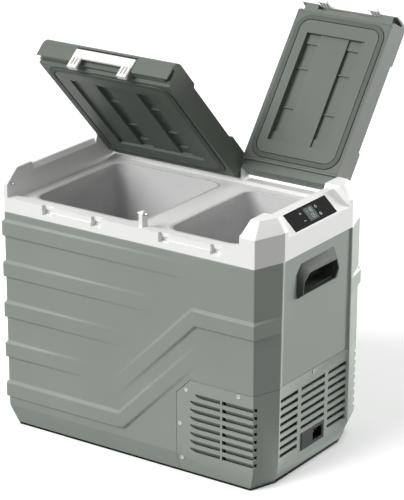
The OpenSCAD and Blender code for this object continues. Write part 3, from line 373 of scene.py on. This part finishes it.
# The vent cover's outline, where the shell stops, and the windows for the grips
COVER_X, COVER_TOP, COVER_CUT, SILL_Z = 111.0, 193.0, 30.0, 8.0
GRIP_X, GRIP_Y, GRIP_Z = 290.0, (-60.0, 62.0), (355.0, 398.0)

# Mesh: steps along each side, and between levels
LONG_STEPS, END_STEPS, CHAMFER_STEPS = 230, 96, 27
LEVEL_STEP, LEAST_STEP, SLOPE_STEPS = 2.6, 0.45, 4
RIM_ROWS, CREASE_ROWS = (0.5, 1.0, RIM_DROP), (-1.5, 0.0, 1.5)
CUT_DIST = 1e-6              # m, how near a cutting plane a point counts as on it
ALL_SMOOTH = 360


def soft(t):
    t = min(1, max(0, t))
    return t * t * (3 - 2 * t)


def inset_at(z):
    """How far the wall lies inside the collar's outline at z."""
    upper = DRAFT * (TOP_Z - z) / (TOP_Z - CREASE_Z)
    lower = DRAFT + SKIRT * (CREASE_Z - z) / (CREASE_Z - FOOT_Z)
    blend = math.log(1 + math.exp(-abs(upper - lower) * CREASE_BLEND)) / CREASE_BLEND / 2
    rim = max(0, RIM_DROP - (TOP_Z - z)) * RIM_TURN
    return max(upper, lower) + blend + rim


def strip(value, low, high, rise=EDGE, fall=EDGE):
    """1 between low and high; it rises and falls softly, just inside the two."""
    return soft((value - low) / rise) * soft((high - value) / fall)


def relief(x, z):
    """How far the front or back stands out at x, z: ribs on the left, bands beyond."""
    best = 0.0
    for i in range(RIBS):
        top = RIB_TOP - i * RIB_PITCH
        across = strip(z, top - RIB_H, top, SLOPE_LOW, SLOPE_TOP)
        if i < RIBS - 1:
            end = RIB_REACH - RIB_STEP * i
            along = min(1, max(0, (end - x) / (end + HALF_X - CHAMFER_X)))
        else:
            along = soft((LOW_RIB_END - x) / EDGE + 1)
        best = max(best, OUT * across * along)
    rising = strip(z - x, *RISING) * (1 - max(0, (x - RISING_FULL_X) / RISING_FADE))
    best = max(best, OUT * rising * soft((z - LOW_RIB_Z) / EDGE))
    level = strip(z, BAND_LOW, BAND_TOP, SLOPE_LOW, SLOPE_TOP)
    best = max(best, OUT * level * soft((x - BAND_START_X) / EDGE))
    if x < FALLING_END_X:
        falling = strip(z - x, *FALLING) * (1 - max(0, (FALLING_FULL_X - x) / FALLING_FADE))
        best = max(best, OUT * falling * soft((BAND_TOP - z) / EDGE))
    return best


def perimeter():
    """Stations round the body: the face, and two numbers that place each on that face.

    They are x and 0 on the front and back, the end's sign and y on the ends, and the
    end's sign and the share of the way to it on the chamfers.
    """
    flat = HALF_X - CHAMFER_X
    side = HALF_Y - CHAMFER_Y
    along = [2 * flat * i / LONG_STEPS - flat for i in range(LONG_STEPS + 1)]
    over = [2 * side * i / END_STEPS - side for i in range(END_STEPS + 1)]
    shares = [i / CHAMFER_STEPS for i in range(1, CHAMFER_STEPS)]
    ring = [("front", x, 0) for x in along]
    ring += [("chamfer", 1, t) for t in shares]
    ring += [("end", 1, y) for y in over]
    ring += [("chamfer_back", 1, t) for t in reversed(shares)]
    ring += [("back", -x, 0) for x in along]
    ring += [("chamfer_back", -1, t) for t in shares]
    ring += [("end", -1, -y) for y in over]
    ring += [("chamfer", -1, t) for t in reversed(shares)]
    return ring


def shell_point(kind, a, b, z):
    """x, y of a station at the height z."""
    inset = inset_at(z)
    pull = DRAFT * min(1, (TOP_Z - z) / (TOP_Z - CREASE_Z))
    end = HALF_X - inset
    front = HALF_Y - inset
    corner = end - (CHAMFER_X - pull)
    flank = front - (CHAMFER_Y - CHAMFER_RATIO * pull)
    if kind in ("front", "back"):
        x = a * corner / (HALF_X - CHAMFER_X)
        out = relief(x, z)
        lean = LEAN * out * soft((abs(x) - corner + LEAN_RUN) / LEAN_RUN)
        x += lean if x > 0 else -lean
        y = -(front + out)
        return x, y if kind == "front" else -y
    if kind in ("chamfer", "chamfer_back"):
        out = relief(a * corner, z)
        x = a * (corner + LEAN * out) * (1 - b) + a * end * b
        y = -(front + out) * (1 - b) - flank * b
        return x, y if kind == "chamfer" else -y
    y = b * flank / (HALF_Y - CHAMFER_Y)
    deep = PANEL_DEPTH * soft((PANEL_HALF - abs(y)) / PANEL_RAMP)
    return a * (end - deep), y


def levels():
    """Heights of the mesh's rows, closer where the relief changes quickly."""
    zs = {FOOT_Z, TOP_Z, COVER_TOP}
    z = FOOT_Z
    while z < TOP_Z:
        zs.add(round(z, 3))
        z += LEVEL_STEP
    zs |= {TOP_Z - drop for drop in RIM_ROWS} | {CREASE_Z + rise for rise in CREASE_ROWS}
    tops = [RIB_TOP - i * RIB_PITCH for i in range(RIBS)] + [BAND_TOP]
    for top in tops:
        for low, width in ((top - RIB_H, SLOPE_LOW), (top - SLOPE_TOP, SLOPE_TOP)):
            zs |= {low + width * k / SLOPE_STEPS for k in range(SLOPE_STEPS + 1)}
    ordered = sorted(zs)
    kept = [ordered[0]]
    for z in ordered[1:]:
        if z - kept[-1] > LEAST_STEP:
            kept.append(z)
    kept[-1] = TOP_Z
    return kept


def shell_mesh():
    """The shell's outer skin, open at the vent cover's bay and at the grips."""
    ring = perimeter()
    bm = bmesh.new()
    grid = []
    for z in levels():
        places = [shell_point(kind, a, b, z) for kind, a, b in ring]
        grid.append([bm.verts.new((x * MM, y * MM, z * MM)) for x, y in places])
    for low, high in zip(grid, grid[1:]):
        for i in range(len(ring)):
            k = (i + 1) % len(ring)
            bm.faces.new((low[i], low[k], high[k], high[i]))

    def cut(place, normal):
        geometry = bm.verts[:] + bm.edges[:] + bm.faces[:]
        bmesh.ops.bisect_plane(bm, geom=geometry, dist=CUT_DIST,
                               plane_co=Vector(place) * MM, plane_no=normal)

    cut((COVER_X, 0, 0), (1, 0, 0))
    cut((0, 0, COVER_TOP), (0, 0, 1))
    cut((COVER_X, 0, COVER_TOP - COVER_CUT), (-1, 0, 1))
    gone = []
    for f in bm.faces:
        c = f.calc_center_median() / MM
        under_cut = c.z - c.x < COVER_TOP - COVER_CUT - COVER_X
        in_bay = c.x > COVER_X and SILL_Z < c.z < COVER_TOP and under_cut
        in_grip = (abs(c.x) > GRIP_X and GRIP_Y[0] < c.y < GRIP_Y[1]
                   and GRIP_Z[0] < c.z < GRIP_Z[1])
        if in_bay or in_grip:
            gone.append(f)
    bmesh.ops.delete(bm, geom=gone, context="FACES")
    smooth(bm, ALL_SMOOTH)
    return new_mesh(bm, "outer_shell_look")


shell = link("outer_shell_look", shell_mesh(), "shell", "cabinet", "outer_shell")
thick = shell.modifiers.new("wall", "SOLIDIFY")
thick.thickness = SHELL_WALL * MM
thick.offset = -1            # inwards
thick.use_rim = True


# ---- marks on the display ----

# In mm: the middle of the sloping display, its slope, where the film ends, marks' thickness
FACET = Vector((283.75, -7, 491.25))
FACET_ANGLE = math.radians(43.18)
FILM_TOP = 0.3
MARK_T = 0.06
DOWN = Vector((math.cos(FACET_ANGLE), 0, -math.sin(FACET_ANGLE)))
ALONG = Vector((0, 1, 0))
OUTWARD = Vector((math.sin(FACET_ANGLE), 0, math.cos(FACET_ANGLE)))

# Touch marks: how far along and down from the middle, and the sizes of their strokes
MARK_ALONG, MARK_DOWN = 26.0, 8.0
STROKE, STROKE_LEN = 0.9, 5.0
POWER_R, POWER_STROKE, POWER_GAP = 2.8, 0.7, 30
POWER_BAR_UP, POWER_BAR_LEN = 2.2, 3.0
GEAR_R, GEAR_STROKE, GEAR_TOOTH_R, GEAR_TEETH, TOOTH_HALF = 2.6, 0.8, 3.4, 6, 10

# Figures: which of seven bars each lights, their size and where the two rows lie
SEGMENTS = {"0": "abcdef", "1": "bc", "5": "acdfg", "8": "abcdefg", "-": "g"}
FIGURE_H, FIGURE_W, FIGURE_STROKE = 7.5, 4.2, 0.8
FIGURE_MIDDLE, FIGURE_PITCH = 2.5, 6.2
UPPER_ROW, LOWER_ROW = -6.5, 5.5


def on_facet(down, along, out):
    return (FACET + DOWN * down + ALONG * along + OUTWARD * out) * MM


def slab(bm, outline):
    """A thin raised mark with a convex outline, given down and along the display."""
    low = [bm.verts.new(on_facet(d, a, FILM_TOP)) for d, a in outline]
    top = [bm.verts.new(on_facet(d, a, FILM_TOP + MARK_T)) for d, a in outline]
    bm.faces.new(top)
    for i in range(len(low)):
        k = (i + 1) % len(low)
        bm.faces.new((low[i], low[k], top[k], top[i]))


def bar(bm, down, along, high, wide):
    half_h, half_w = high / 2, wide / 2
    slab(bm, [(down - half_h, along - half_w), (down + half_h, along - half_w),
              (down + half_h, along + half_w), (down - half_h, along + half_w)])


def arc(bm, down, along, radius, width, start, end, steps=20):
    """Part of a ring, from start to end in degrees off the display's upper side."""
    def at(i, r):
        t = math.radians(start + (end - start) * i / steps)
        return down - r * math.cos(t), along + r * math.sin(t)

    inner = radius - width
    for i in range(steps):
        slab(bm, [at(i, radius), at(i + 1, radius), at(i + 1, inner), at(i, inner)])


def digit(bm, sign, down, along):
    """One figure of seven plain bars."""
    high, wide, line = FIGURE_H, FIGURE_W, FIGURE_STROKE
    level, upright = (line, wide - line), (high / 2 - line, line)
    places = {"a": (-high / 2, 0) + level, "g": (0, 0) + level, "d": (high / 2, 0) + level,
              "f": (-high / 4, -wide / 2) + upright, "b": (-high / 4, wide / 2) + upright,
              "e": (high / 4, -wide / 2) + upright, "c": (high / 4, wide / 2) + upright}
    for part in SEGMENTS[sign]:
        d, a, h, w = places[part]
        bar(bm, down + d, along + a, h, w)


def piece(name, build, material):
    bm = bmesh.new()
    build(bm)
    bmesh.ops.recalc_face_normals(bm, faces=bm.faces)
    return link(name, new_mesh(bm, name), material, "cabinet")


def touch_marks(bm):
    """A plus and a minus at one side of the readout, a power sign and a gear at the other."""
    arm = (STROKE_LEN - STROKE) / 2
    middle = (arm + STROKE) / 2
    bar(bm, -MARK_DOWN, -MARK_ALONG, STROKE, STROKE_LEN)
    bar(bm, -MARK_DOWN - middle, -MARK_ALONG, arm, STROKE)
    bar(bm, -MARK_DOWN + middle, -MARK_ALONG, arm, STROKE)
    bar(bm, MARK_DOWN, -MARK_ALONG, STROKE, STROKE_LEN)
    arc(bm, -MARK_DOWN, MARK_ALONG, POWER_R, POWER_STROKE, POWER_GAP, 360 - POWER_GAP)
    bar(bm, -MARK_DOWN - POWER_BAR_UP, MARK_ALONG, POWER_BAR_LEN, POWER_STROKE)
    arc(bm, MARK_DOWN, MARK_ALONG, GEAR_R, GEAR_STROKE, 0, 360, 24)
    for i in range(GEAR_TEETH):
        turn = 360 / GEAR_TEETH * i
        arc(bm, MARK_DOWN, MARK_ALONG, GEAR_TOOTH_R, STROKE, turn - TOOTH_HALF,
            turn + TOOTH_HALF, 2)


def figures(bm):
    for i, sign in enumerate("-18"):
        digit(bm, sign, UPPER_ROW, FIGURE_MIDDLE + (i - 1) * FIGURE_PITCH)
    for i, sign in enumerate("05"):
        digit(bm, sign, LOWER_ROW, FIGURE_MIDDLE + i * FIGURE_PITCH)


piece("touch_marks", touch_marks, "mark")
piece("readout_figures", figures, "figure")


# ---- studio ----

CAMERA_PLACE = Vector((2.43957, -3.53620, 1.90343))
CAMERA_TARGET = Vector((0.25729, -0.31317, 0.50644))
CAMERA_ROLL = math.radians(0.3034)
LENS, SENSOR, SIGHT = 175.56, 36, 50     # mm, mm and m
LAMP_DISTANCE = 4.0
FLOOR_HALF = 6.0
AMBIENT = 0.32
# The floor: its tone in bounced light, its tone where it is seen, and its glow there
LIT_BY, SEEN_AS, GLOW = 0.2, 0.97, 0.2


def camera():
    data = bpy.data.cameras.new("camera")
    made = bpy.data.objects.new("camera", data)
    bpy.context.scene.collection.objects.link(made)
    back = (CAMERA_PLACE - CAMERA_TARGET).normalized()
    right = Vector((0, 0, 1)).cross(back).normalized()
    up = back.cross(right)
    across = right * math.cos(CAMERA_ROLL) + up * math.sin(CAMERA_ROLL)
    over = up * math.cos(CAMERA_ROLL) - right * math.sin(CAMERA_ROLL)
    made.matrix_world = Matrix((across, over, back)).transposed().to_4x4()
    made.location = CAMERA_PLACE
    data.sensor_width = SENSOR
    data.lens = LENS
    data.clip_end = SIGHT
    bpy.context.scene.camera = made


def lamp(name, energy, direction, angle):
    """A sun that shines from a direction, as wide as angle in degrees."""
    data = bpy.data.lights.new(name, "SUN")
    data.energy = energy
    data.angle = math.radians(angle)
    made = bpy.data.objects.new(name, data)
    bpy.context.scene.collection.objects.link(made)
    towards = Vector(direction).normalized()
    made.location = towards * LAMP_DISTANCE
    made.rotation_mode = "QUATERNION"
    made.rotation_quaternion = towards.to_track_quat("Z", "Y")


def seen_ray(tree):
    """1 for the rays that show the background: seen straight, in a gloss or through glass."""
    path = tree.nodes.new("ShaderNodeLightPath").outputs
    share = path["Is Camera Ray"]
    for kind in ("Is Glossy Ray", "Is Transmission Ray"):
        either = tree.nodes.new("ShaderNodeMath")
        either.operation = "MAXIMUM"
        tree.links.new(share, either.inputs[0])
        tree.links.new(path[kind], either.inputs[1])
        share = either.outputs[0]
    return share


def surroundings():
    """White where it is seen, and an even AMBIENT light elsewhere."""
    world = bpy.data.worlds.new("studio")
    bpy.context.scene.world = world
    world.use_nodes = True
    tree = world.node_tree
    tree.nodes.clear()
    choose = tree.nodes.new("ShaderNodeMixShader")
    tree.links.new(seen_ray(tree), choose.inputs[0])
    for i, strength in enumerate((AMBIENT, 1.0)):
        light = tree.nodes.new("ShaderNodeBackground")
        light.inputs["Color"].default_value = (1, 1, 1, 1)
        light.inputs["Strength"].default_value = strength
        tree.links.new(light.outputs[0], choose.inputs[1 + i])
    tree.links.new(choose.outputs[0], tree.nodes.new("ShaderNodeOutputWorld").inputs[0])


def floor():
    mesh = bpy.data.meshes.new("floor")
    f = FLOOR_HALF
    mesh.from_pydata([(-f, -f, 0), (f, -f, 0), (f, f, 0), (-f, f, 0)], [], [(0, 1, 2, 3)])
    made = bpy.data.objects.new("floor", mesh)
    bpy.context.scene.collection.objects.link(made)
    n = Nodes("floor_white")
    seen = seen_ray(n.tree)
    paint = n.add("ShaderNodeBsdfDiffuse")
    n.put(n.mix(seen, (LIT_BY,) * 3 + (1,), (SEEN_AS,) * 3 + (1,)), paint.inputs["Color"])
    glow = n.add("ShaderNodeEmission")
    glow.inputs["Color"].default_value = (1, 1, 1, 1)
    n.put(n.math("MULTIPLY", seen, GLOW), glow.inputs["Strength"])
    both = n.add("ShaderNodeAddShader")
    n.put(paint.outputs[0], both.inputs[0])
    n.put(glow.outputs[0], both.inputs[1])
    mesh.materials.append(n.surface(both))
    made.visible_shadow = False


camera()
lamp("front_light", 3.15, (-0.38, -0.9, 0.62), 35)
lamp("rear_light", 5.2, (0.65, 1.8, 0.12), 20)
lamp("top_light", 0.7, (0, 0, 1), 50)
surroundings()
floor()

scene = bpy.context.scene
scene.view_settings.view_transform = "Standard"
